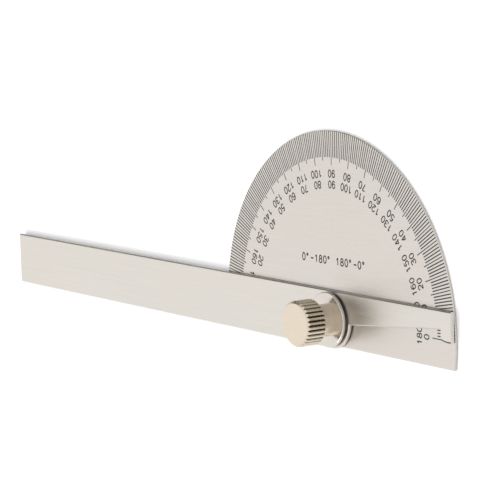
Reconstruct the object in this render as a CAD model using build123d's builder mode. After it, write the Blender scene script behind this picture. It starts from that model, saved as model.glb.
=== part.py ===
import os
from math import cos, radians, sin
from build123d import *

os.makedirs("parts", exist_ok=True)

# The tool lies on its back. The origin is on the pivot axis at the head's back face.
# +Z points out of the scale face, +Y to the 90 degree mark, +X to the 0 degree mark.

# Head plate
head_radius = 44.0
head_thick = 0.6
base_y = -6.4
head_edge_break = 0.12

# Arm: the long end runs to -X. Past a round shoulder at the pivot the other end
# narrows to a pointer, clear of the numbers, whose tip comes down to the centre line.
arm_width = 13.6
arm_thick = 1.0
arm_edge_break = 0.25
arm_long = 147.0
arm_short = 43.8
shoulder_centre_x = 0.35
shoulder_stop = -5.0
tip_start_x = 40.35
tip_notch_y = 2.65
tip_edge = [(40.35, 0.24), (42.1, -0.1), (43.8, -0.12)]

# Pivot stud, pressed into the head and flush with its back
stud_base_radius = 4.0
stud_base_thick = 0.3
stud_shank_radius = 2.5
stud_thread_radius = 2.0
stud_top = 9.0
stud_chamfer = 0.4

# Washers on the stud, in order from the head
shim_radius = 6.0
shim_thick = 0.2
spring_radius = 5.4
spring_hole_radius = 2.8
spring_thick = 0.25
spring_rise = 0.2
spring_turn = -35.0
flange_radius = 6.5
flange_thick = 0.8
flange_round = 0.25
running_gap = 0.05

# Thumb nut
neck_radius = 3.8
neck_length = 3.9
grip_radius = 5.4
grip_length = 5.2
grip_grooves = 30
groove_depth = 0.42
groove_width = 0.75
grip_chamfer = 0.55
grip_back_chamfer = 0.33
nut_bore_depth = 6.5

# Scale marks, etched and filled
etch_depth = 0.06
fill_depth = 0.05
tick_outer = 43.9
fine_inner, fine_width = 37.8, 0.29
mid_inner, mid_width = 36.95, 0.24
main_inner, main_width = 36.0, 0.24
digit_height = 1.96
digit_width = 1.32
digit_stroke = 0.32
digit_advance = 1.42
outer_row_radius = 34.0
inner_row_radius = 31.45
note_y = 13.6
note_height = 2.05
note_width = 1.4
note_stroke = 0.35
note_advance = 1.66
index_width = 0.28

# Levels along the pivot axis
arm_back = head_thick + shim_thick
arm_front = arm_back + arm_thick
flange_back = arm_front + spring_thick + spring_rise
flange_front = flange_back + flange_thick
grip_back = flange_front + neck_length
nut_top = grip_back + grip_length

# Centre lines of the figures in a unit box: open runs of points
figure_runs = {
    "1": [[(0.12, 0.74), (0.52, 0.97)], [(0.55, 1.0), (0.55, 0.0)]],
    "2": [[(0.03, 0.7), (0.16, 0.93), (0.5, 1.0), (0.85, 0.92), (0.96, 0.7), (0.72, 0.4), (0.0, 0.03)],
          [(0.0, 0.0), (1.0, 0.0)]],
    "3": [[(0.04, 0.8), (0.2, 0.96), (0.5, 1.0), (0.8, 0.94), (0.9, 0.76), (0.76, 0.58), (0.38, 0.53)],
          [(0.38, 0.53), (0.8, 0.48), (0.97, 0.28), (0.82, 0.06), (0.48, 0.0), (0.16, 0.06), (0.0, 0.25)]],
    "4": [[(0.72, 1.0), (0.0, 0.3)], [(0.0, 0.27), (1.0, 0.27)], [(0.72, 1.0), (0.72, 0.0)]],
    "5": [[(0.9, 1.0), (0.2, 1.0)], [(0.2, 1.0), (0.08, 0.5)],
          [(0.08, 0.5), (0.5, 0.64), (0.86, 0.54), (0.98, 0.32), (0.84, 0.07), (0.46, 0.0), (0.0, 0.2)]],
    "6": [[(0.92, 0.82), (0.78, 0.96), (0.5, 1.0), (0.16, 0.86), (0.02, 0.42), (0.06, 0.3)]],
    "7": [[(0.0, 1.0), (1.0, 1.0)], [(1.0, 0.97), (0.6, 0.5), (0.34, 0.0)]],
    "-": [[(0.0, 0.45), (1.0, 0.45)]],
}

# Closed rings of the figures in the same box: centre x, centre y, half width, half height
figure_rings = {
    "0": [(0.5, 0.5, 0.5, 0.5)],
    "6": [(0.52, 0.31, 0.47, 0.31)],
    "8": [(0.5, 0.76, 0.4, 0.24), (0.5, 0.27, 0.5, 0.27)],
    "d": [(0.3, 0.86, 0.22, 0.14)],
}


def figure(name, width, height, stroke):
    """One figure as a flat face, centred on the origin."""
    with BuildSketch() as face:
        for run in figure_runs.get(name, []):
            points = [((x - 0.5) * width, (y - 0.5) * height) for x, y in run]
            with BuildLine(mode=Mode.PRIVATE) as path:
                if len(points) == 2:
                    Line(points[0], points[1])
                else:
                    Spline(points)
            trace(path.line, line_width=stroke)
        for x, y, half_width, half_height in figure_rings.get(name, []):
            with Locations(((x - 0.5) * width, (y - 0.5) * height)):
                across, along = half_width * width, half_height * height
                Ellipse(across + stroke / 2, along + stroke / 2)
                Ellipse(across - stroke / 2, along - stroke / 2, mode=Mode.SUBTRACT)
    return face.sketch


def figure_set(width, height, stroke):
    """All the figures in one size. A 9 is a 6 turned half way round."""
    names = sorted(set(figure_runs) | set(figure_rings))
    figures = {name: figure(name, width, height, stroke) for name in names}
    figures["9"] = Rot(0, 0, 180) * figures["6"]
    return figures


def label_faces(label, figures, advance):
    """The figures of a label side by side, centred on the origin. A blank leaves a gap."""
    faces = []
    start = -advance * (len(label) - 1) / 2
    for place, name in enumerate(label):
        if name != " ":
            faces.append(Pos(start + advance * place, 0) * figures[name])
    return faces


def row_faces(radius, reading, figures):
    """A row of numbers round the scale, every 10 degrees, with their tops to the pivot."""
    faces = []
    for angle in range(0, 181, 10):
        turn = Rot(0, 0, angle) * Pos(radius, 0) * Rot(0, 0, 90)
        faces += [turn * face for face in label_faces(str(reading(angle)), figures, digit_advance)]
    return faces


def tick_angles(kind):
    """The angles that carry main, mid or fine ticks."""
    if kind == "main":
        return [angle for angle in range(0, 181) if angle % 10 == 0]
    if kind == "mid":
        return [angle for angle in range(0, 181) if angle % 10 == 5]
    return [angle for angle in range(0, 181) if angle % 5 != 0]


def tick_faces(kind, inner, width):
    """Radial ticks from the inner radius out to the rim."""
    with BuildSketch() as ticks:
        for angle in tick_angles(kind):
            middle = (inner + tick_outer) / 2
            place = (middle * cos(radians(angle)), middle * sin(radians(angle)))
            with Locations(Location((place[0], place[1], 0), (0, 0, angle))):
                Rectangle(tick_outer - inner, width)
    return ticks.sketch


small_figures = figure_set(digit_width - digit_stroke, digit_height - digit_stroke, digit_stroke)
note_figures = figure_set(note_width - note_stroke, note_height - note_stroke, note_stroke)
note_faces = label_faces("0d-180d 180d-0d", note_figures, note_advance)

mark_faces = {
    "ticks_fine": [tick_faces("fine", fine_inner, fine_width)],
    "ticks_mid": [tick_faces("mid", mid_inner, mid_width)],
    "ticks_main": [tick_faces("main", main_inner, main_width)],
    "numbers_outer": row_faces(outer_row_radius, lambda angle: angle, small_figures),
    "numbers_inner": row_faces(inner_row_radius, lambda angle: 180 - angle, small_figures),
    "range_note": [Pos(0, note_y) * face for face in note_faces],
}


# The fill of each group of marks, sunk a little below the plate's front
for mark_name, faces in mark_faces.items():
    with BuildPart() as mark:
        with BuildSketch(Plane.XY.offset(head_thick - etch_depth)):
            add(faces)
        extrude(amount=fill_depth)
    mark.part.label = mark_name
    export_step(mark.part, "parts/" + mark_name + ".step")


# Semicircular head with the etched marks and the stud's stepped hole
with BuildPart() as head_plate:
    with BuildSketch():
        Circle(head_radius)
        with Locations((0, base_y)):
            Rectangle(3 * head_radius, 2 * head_radius, align=(Align.CENTER, Align.MAX), mode=Mode.SUBTRACT)
    extrude(amount=head_thick)
    chamfer(head_plate.faces().sort_by(Axis.Z)[-1].edges(), head_edge_break)
    chamfer(head_plate.faces().sort_by(Axis.Z)[0].edges(), head_edge_break)
    with BuildSketch():
        Circle(stud_base_radius)
    extrude(amount=stud_base_thick, mode=Mode.SUBTRACT)
    with BuildSketch():
        Circle(stud_shank_radius)
    extrude(amount=head_thick, mode=Mode.SUBTRACT)
    with BuildSketch(Plane.XY.offset(head_thick - etch_depth)):
        for faces in mark_faces.values():
            add(faces)
    extrude(amount=2 * etch_depth, mode=Mode.SUBTRACT)
head_plate.part.label = "head_plate"
export_step(head_plate.part, "parts/head_plate.step")


# Outline of the index mark, along the lower edge of the pointer's tip
with BuildSketch() as index_outline:
    with BuildLine():
        Spline(tip_edge)
        Line(tip_edge[-1], (arm_short, tip_edge[-1][1] + index_width))
        Spline([(x, y + index_width) for x, y in reversed(tip_edge)])
        Line((tip_start_x, tip_edge[0][1] + index_width), tip_edge[0])
    make_face()

# Index mark: the outline, filled
with BuildPart() as index_line:
    with BuildSketch(Plane.XY.offset(arm_front - etch_depth)):
        add(index_outline.sketch)
    extrude(amount=fill_depth)
index_line.part.label = "index_line"
export_step(index_line.part, "parts/index_line.step")

# Arm with its pivot hole and the etched seat of the index mark
half_width = arm_width / 2
stop_angle = radians(shoulder_stop)
middle_angle = radians((shoulder_stop - 90) / 2)
shoulder_end = (shoulder_centre_x + half_width * cos(stop_angle), half_width * sin(stop_angle))
shoulder_middle = (shoulder_centre_x + half_width * cos(middle_angle), half_width * sin(middle_angle))
shoulder_start = (shoulder_centre_x, -half_width)
with BuildPart() as arm:
    with BuildSketch(Plane.XY.offset(arm_back)):
        with BuildLine():
            Line(shoulder_start, (-arm_long, -half_width))
            Polyline((-arm_long, -half_width), (-arm_long, half_width), (arm_short, half_width))
            Line((arm_short, half_width), tip_edge[-1])
            Spline(list(reversed(tip_edge)))
            Polyline(tip_edge[0], (tip_start_x, tip_notch_y), shoulder_end)
            ThreePointArc(shoulder_end, shoulder_middle, shoulder_start)
        make_face()
    extrude(amount=arm_thick)
    long_edges = arm.edges().filter_by(lambda edge: edge.length > 0.99 * arm_width)
    chamfer(long_edges, arm_edge_break)
    with BuildSketch(Plane.XY.offset(arm_back)):
        Circle(stud_shank_radius + running_gap)
    extrude(amount=arm_thick, mode=Mode.SUBTRACT)
    with BuildSketch(Plane.XY.offset(arm_front - etch_depth)):
        add(index_outline.sketch)
    extrude(amount=2 * etch_depth, mode=Mode.SUBTRACT)
arm.part.label = "arm"
export_step(arm.part, "parts/arm.step")

# Stud: flush base, shank through the head and the arm, thinner threaded end
with BuildPart() as pivot_stud:
    with BuildSketch():
        Circle(stud_base_radius)
    extrude(amount=stud_base_thick)
    with BuildSketch():
        Circle(stud_shank_radius)
    extrude(amount=arm_front)
    with BuildSketch():
        Circle(stud_thread_radius)
    extrude(amount=stud_top)
    chamfer(pivot_stud.faces().sort_by(Axis.Z)[-1].edges(), stud_chamfer)
pivot_stud.part.label = "pivot_stud"
export_step(pivot_stud.part, "parts/pivot_stud.step")

# Thin shim that keeps the arm off the scale
with BuildPart() as shim_washer:
    with BuildSketch(Plane.XY.offset(head_thick)):
        Circle(shim_radius)
        Circle(stud_shank_radius + running_gap, mode=Mode.SUBTRACT)
    extrude(amount=shim_thick)
shim_washer.part.label = "shim_washer"
export_step(shim_washer.part, "parts/shim_washer.step")

# Curved spring washer: a ring cut from a bent strip, its ridge turned about the pivot
bend_radius = (spring_radius**2 + spring_rise**2) / (2 * spring_rise)
bend_centre_z = arm_front + spring_rise - bend_radius
with BuildPart() as spring_washer:
    with BuildSketch(Plane.XY.offset(arm_front)):
        Circle(spring_radius)
        Circle(spring_hole_radius, mode=Mode.SUBTRACT)
    extrude(amount=spring_thick + spring_rise)
    strip_x = (cos(radians(spring_turn + 90)), sin(radians(spring_turn + 90)), 0)
    strip_axis = (cos(radians(spring_turn)), sin(radians(spring_turn)), 0)
    with BuildSketch(Plane(origin=(0, 0, bend_centre_z), x_dir=strip_x, z_dir=strip_axis)):
        Circle(bend_radius + spring_thick)
        Circle(bend_radius, mode=Mode.SUBTRACT)
    extrude(amount=2 * spring_radius, both=True, mode=Mode.INTERSECT)
spring_washer.part.label = "spring_washer"
export_step(spring_washer.part, "parts/spring_washer.step")

# Thick polished washer under the nut
with BuildPart() as flange_washer:
    with BuildSketch(Plane.XY.offset(flange_back)):
        Circle(flange_radius)
        Circle(stud_thread_radius + running_gap, mode=Mode.SUBTRACT)
    extrude(amount=flange_thick)
    rim_edges = flange_washer.edges().filter_by(GeomType.CIRCLE).sort_by(SortBy.RADIUS)[-2:]
    fillet(rim_edges, flange_round)
flange_washer.part.label = "flange_washer"
export_step(flange_washer.part, "parts/flange_washer.step")

# Thumb nut: smooth neck, grooved grip with a closed face, blind threaded bore
with BuildPart() as thumb_nut:
    with BuildSketch(Plane.XY.offset(flange_front)):
        Circle(neck_radius)
    extrude(amount=neck_length)
    with BuildSketch(Plane.XY.offset(grip_back)):
        Circle(grip_radius)
    extrude(amount=grip_length)
    round_edges = thumb_nut.edges().filter_by(GeomType.CIRCLE)
    grip_edges = round_edges.filter_by(lambda edge: edge.radius > neck_radius)
    chamfer(grip_edges.sort_by(Axis.Z)[-1], grip_chamfer)
    chamfer(grip_edges.sort_by(Axis.Z)[0], grip_back_chamfer)
    with BuildSketch(Plane.XY.offset(grip_back)):
        with PolarLocations(grip_radius - groove_depth, grip_grooves):
            Polygon((0, 0), (2 * groove_depth, groove_width), (2 * groove_depth, -groove_width), align=None)
    extrude(amount=grip_length, mode=Mode.SUBTRACT)
    with BuildSketch(Plane.XY.offset(flange_front)):
        Circle(stud_thread_radius + running_gap)
    extrude(amount=nut_bore_depth, mode=Mode.SUBTRACT)
thumb_nut.part.label = "thumb_nut"
export_step(thumb_nut.part, "parts/thumb_nut.step")
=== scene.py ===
import bpy
from mathutils import Matrix, Vector


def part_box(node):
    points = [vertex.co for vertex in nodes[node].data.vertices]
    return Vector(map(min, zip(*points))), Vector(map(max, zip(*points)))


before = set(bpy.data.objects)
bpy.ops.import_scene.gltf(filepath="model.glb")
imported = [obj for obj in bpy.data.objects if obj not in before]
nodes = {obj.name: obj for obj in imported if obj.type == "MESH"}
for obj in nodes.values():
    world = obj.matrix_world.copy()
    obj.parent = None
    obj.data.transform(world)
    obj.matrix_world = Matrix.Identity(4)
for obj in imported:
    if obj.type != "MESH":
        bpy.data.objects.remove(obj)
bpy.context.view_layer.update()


class Tree:
    """A small helper that adds nodes to one material and links them."""

    def __init__(self, name):
        self.material = bpy.data.materials.new(name)
        self.material.use_nodes = True
        self.nodes = self.material.node_tree.nodes
        self.links = self.material.node_tree.links
        self.shader = self.nodes["Principled BSDF"]

    def add(self, kind, inputs=None, **settings):
        node = self.nodes.new(kind)
        for key, value in settings.items():
            setattr(node, key, value)
        for key, value in (inputs or {}).items():
            if isinstance(value, bpy.types.NodeSocket):
                self.links.new(value, node.inputs[key])
            else:
                node.inputs[key].default_value = value
        return node

    def stretched(self, scale):
        """Object coordinates in metres, stretched: a small scale makes long streaks."""
        place = self.add("ShaderNodeTexCoord").outputs["Object"]
        return self.add("ShaderNodeMapping", {"Vector": place, "Scale": scale}).outputs[0]

    def noise(self, vector, scale=1.0, detail=4.0, rough=0.6):
        return self.add("ShaderNodeTexNoise", {
            "Vector": vector, "Scale": scale, "Detail": detail, "Roughness": rough}).outputs["Fac"]

    def ramp(self, value, low, high, out_low, out_high):
        return self.add("ShaderNodeMapRange", {
            "Value": value, "From Min": low, "From Max": high,
            "To Min": out_low, "To Max": out_high}).outputs[0]

    def mix(self, factor, first, second):
        """Blends two colours. Sockets 6, 7 and output 2 are a Mix node's colour sockets."""
        node = self.add("ShaderNodeMix", data_type="RGBA")
        for socket, value in ((0, factor), (6, first), (7, second)):
            if isinstance(value, bpy.types.NodeSocket):
                self.links.new(value, node.inputs[socket])
            else:
                node.inputs[socket].default_value = value
        return node.outputs[2]

    def to_shader(self, **sockets):
        for key, value in sockets.items():
            name = key.replace("_", " ")
            if isinstance(value, bpy.types.NodeSocket):
                self.links.new(value, self.shader.inputs[name])
            else:
                self.shader.inputs[name].default_value = value

    def bump(self, height, strength, distance):
        node = self.add("ShaderNodeBump", {"Height": height, "Strength": strength, "Distance": distance})
        self.links.new(node.outputs[0], self.shader.inputs["Normal"])


def scaled(colour, factor):
    return [value * factor for value in colour[:3]] + [1.0]


def brushed(name, colour, warm, grain, rough):
    """Brushed steel: fine grain along one axis, cloudy tone, a few longer scratches."""
    cloud_scale = (18, 70, 40)
    grain_depth = 0.00002
    tree = Tree(name)
    fine = tree.noise(tree.stretched(grain), 1.0, 6.0, 0.7)
    broad = tree.noise(tree.stretched(cloud_scale), 1.0, 3.0, 0.5)
    scratch = tree.noise(tree.stretched([value * 0.35 for value in grain]), 1.0, 2.0, 0.4)
    tone = tree.mix(tree.ramp(broad, 0.3, 0.7, 0.0, 1.0), colour, warm)
    tone = tree.mix(tree.ramp(fine, 0.35, 0.75, 0.0, 0.55), tone, scaled(colour, 0.86))
    tone = tree.mix(tree.ramp(scratch, 0.68, 0.74, 0.0, 0.35), tone, scaled(colour, 1.1))
    shine = tree.ramp(fine, 0.3, 0.7, rough - 0.07, rough + 0.09)
    tree.to_shader(Base_Color=tone, Metallic=1.0, Roughness=shine)
    tree.bump(fine, 0.25, grain_depth)
    return tree.material


def etched(name):
    """Black fill in the etched marks: matte, a little worn."""
    tree = Tree(name)
    wear = tree.noise(tree.stretched((900, 900, 900)), 1.0, 4.0, 0.6)
    fresh, grey = (0.018, 0.017, 0.016, 1), (0.06, 0.057, 0.053, 1)
    tone = tree.mix(tree.ramp(wear, 0.4, 0.75, 0.0, 0.6), fresh, grey)
    tree.to_shader(Base_Color=tone, Roughness=tree.ramp(wear, 0.3, 0.7, 0.5, 0.75))
    return tree.material


def turned(name, colour, rough, ring_scale, ring_strength, worn, grip=None):
    """Turned and plated metal: fine rings about the pivot axis, faint handling marks.

    grip is (radius, top, chamfer) of a grooved grip, whose grooves get painted shade: their colour is
    darkened to stand in for the shade that falls in them. The painted shade starts at groove_start below
    the grip's outline and is full at groove_full. It stops again at the neck, which lies deeper still,
    and it stays off the flat face on top.
    """
    ring_depth = 0.000004
    groove_start, groove_full = 0.00006, 0.0003
    neck_fade, neck_clear = 0.0006, 0.0009
    face_fade, face_clear = 0.00006, 0.00002
    tree = Tree(name)
    place = tree.add("ShaderNodeTexCoord").outputs["Object"]
    split = tree.add("ShaderNodeSeparateXYZ", {"Vector": place})
    flat = tree.add("ShaderNodeCombineXYZ", {"X": split.outputs[0], "Y": split.outputs[1]}).outputs[0]
    radius = tree.add("ShaderNodeVectorMath", {0: flat}, operation="LENGTH").outputs["Value"]
    ring_place = tree.add("ShaderNodeCombineXYZ", {"X": radius, "Y": split.outputs[2]}).outputs[0]
    rings = tree.noise(ring_place, ring_scale, 1.0, 0.5)
    cloud = tree.noise(place, 260.0, 3.0, 0.5)
    tone = tree.mix(tree.ramp(cloud, 0.35, 0.7, 0.0, 0.5), colour, worn)
    if grip:
        grip_radius, top, chamfer = grip
        profile = tree.ramp(split.outputs[2], top - chamfer, top, grip_radius, grip_radius - chamfer)
        depth = tree.add("ShaderNodeMath", {0: profile, 1: radius}, operation="SUBTRACT").outputs[0]
        sunk = tree.ramp(depth, groove_start, groove_full, 0.0, 1.0)
        neck = tree.ramp(depth, neck_fade, neck_clear, 1.0, 0.0)
        side = tree.ramp(split.outputs[2], top - face_fade, top - face_clear, 1.0, 0.0)
        grooves = tree.add("ShaderNodeMath", {0: sunk, 1: neck}, operation="MULTIPLY").outputs[0]
        painted_groove_shade = tree.add("ShaderNodeMath", {0: grooves, 1: side}, operation="MULTIPLY").outputs[0]
        # Painted shade: the grooves' colour is darkened to 0.16 of the metal's, in place of the shade in
        # them.
        tone = tree.mix(painted_groove_shade, tone, scaled(colour, 0.16))
    shine = tree.ramp(rings, 0.3, 0.7, rough * 0.85, rough * 1.2)
    tree.to_shader(Base_Color=tone, Metallic=1.0, Roughness=shine)
    tree.bump(rings, ring_strength, ring_depth)
    return tree.material


def give(material, *names):
    for name in names:
        for slot in nodes[name].material_slots:
            slot.material = material


def white_sheet(name):
    """The shim: thin white plastic sheet, opaque here."""
    tree = Tree(name)
    cloud = tree.noise(tree.stretched((400, 400, 400)))
    tone = tree.mix(tree.ramp(cloud, 0.3, 0.7, 0, 1), (0.78, 0.77, 0.74, 1), (0.68, 0.67, 0.63, 1))
    tree.to_shader(Base_Color=tone, Roughness=0.5)
    return tree.material


# Materials. Both grains run along X, the head's and the arm's length.
head_grain = (60, 9000, 2000)
arm_grain = (45, 8000, 2000)
satin = 0.34
grip_chamfer = 0.00055
nut_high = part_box("thumb_nut")[1]
nut_grip = (nut_high[0], nut_high[2], grip_chamfer)

give(brushed("head_steel", (0.580, 0.553, 0.518, 1), (0.590, 0.548, 0.500, 1), head_grain, satin),
     "head_plate")
give(brushed("arm_steel", (0.605, 0.578, 0.540, 1), (0.615, 0.578, 0.525, 1), arm_grain, satin), "arm")
give(etched("black_fill"), "ticks_fine", "ticks_mid", "ticks_main", "numbers_outer", "numbers_inner",
     "range_note", "index_line")
give(turned("polished", (0.600, 0.560, 0.515, 1), 0.16, 1500.0, 0.03, (0.55, 0.51, 0.465, 1)),
     "flange_washer")
give(turned("spring", (0.55, 0.53, 0.50, 1), 0.3, 4000.0, 0.3, (0.42, 0.40, 0.37, 1)), "spring_washer")
give(turned("stud", (0.62, 0.60, 0.58, 1), 0.3, 6000.0, 0.4, (0.5, 0.48, 0.45, 1)), "pivot_stud")
give(turned("nickel", (0.640, 0.565, 0.460, 1), 0.27, 1500.0, 0.03, (0.600, 0.525, 0.420, 1), nut_grip),
     "thumb_nut")
give(white_sheet("shim_sheet"), "shim_washer")


# Floor, lights, surroundings and camera
def make_floor():
    """Near-white paper, a hair under the head's back face so that the two don't flicker."""
    floor_gap = 0.00005
    bpy.ops.mesh.primitive_plane_add(size=6.0, location=(0, 0, -floor_gap))
    floor = bpy.context.object
    floor.name = "floor"
    tree = Tree("floor_paper")
    grain = tree.noise(tree.stretched((120, 120, 120)))
    tone = tree.mix(tree.ramp(grain, 0.3, 0.7, 0, 1), (0.955, 0.955, 0.96, 1), (0.965, 0.965, 0.97, 1))
    tree.to_shader(Base_Color=tone, Roughness=0.9)
    floor.data.materials.append(tree.material)


def area_light(name, place, aim, size, power, colour):
    light = bpy.data.lights.new(name, "AREA")
    light.shape = "SQUARE"
    light.size = size
    light.energy = power
    light.color = colour
    item = bpy.data.objects.new(name, light)
    bpy.context.scene.collection.objects.link(item)
    item.location = place
    item.rotation_mode = "QUATERNION"
    item.rotation_quaternion = (Vector(aim) - Vector(place)).to_track_quat("-Z", "Y")


make_floor()
area_light("key", (-0.42, -0.72, 0.95), (0, 0, 0), 0.35, 3.0, (1.0, 0.985, 0.97))
area_light("back", (-1.6, -0.25, 1.1), (0, 0, 0), 1.6, 1.0, (1.0, 0.98, 0.95))


def studio_world():
    """Soft white surroundings, with a darker band low down on the +Y side."""
    bright, dim = 1.14, 0.08
    dim_side = (-0.2, 0.95, 0.0)
    world = bpy.data.worlds.new("studio")
    bpy.context.scene.world = world
    world.use_nodes = True
    make, link = world.node_tree.nodes.new, world.node_tree.links.new
    background = world.node_tree.nodes["Background"]
    background.inputs["Color"].default_value = (1.0, 1.0, 1.0, 1)
    place = make("ShaderNodeTexCoord").outputs["Generated"]

    def smooth(value, low, high, out_low, out_high):
        step = make("ShaderNodeMapRange")
        step.interpolation_type = "SMOOTHSTEP"
        limits = (("From Min", low), ("From Max", high), ("To Min", out_low), ("To Max", out_high))
        for name, number in limits:
            step.inputs[name].default_value = number
        link(value, step.inputs["Value"])
        return step.outputs["Result"]

    side = make("ShaderNodeVectorMath")
    side.operation = "DOT_PRODUCT"
    side.inputs[1].default_value = dim_side
    link(place, side.inputs[0])
    height = make("ShaderNodeSeparateXYZ")
    link(place, height.inputs[0])
    band = make("ShaderNodeMath")
    band.operation = "MULTIPLY"
    link(smooth(side.outputs["Value"], 0.1, 0.65, 0.0, 1.0), band.inputs[0])
    link(smooth(height.outputs[2], 0.28, 0.6, 1.0, 0.0), band.inputs[1])
    link(smooth(band.outputs[0], 0.0, 1.0, bright, dim), background.inputs["Strength"])


studio_world()

camera_place = Vector((0.4363, 0.0905, 0.3255))
camera_aim = Vector((-0.0334, 0.0130, 0.0010))
camera_data = bpy.data.cameras.new("camera")
camera_data.sensor_width = 36.0
camera_data.lens = 169.9
camera_data.clip_start = 0.02
camera_data.clip_end = 20.0
camera = bpy.data.objects.new("camera", camera_data)
bpy.context.scene.collection.objects.link(camera)
bpy.context.scene.camera = camera
ahead = (camera_aim - camera_place).normalized()
up_hint = Vector((-0.0956, 0.9905, -0.0985))
right = ahead.cross(up_hint).normalized()
up = right.cross(ahead)
camera.matrix_world = Matrix.Translation(camera_place) @ Matrix((right, up, -ahead)).transposed().to_4x4()

bpy.context.scene.view_settings.view_transform = "Standard"
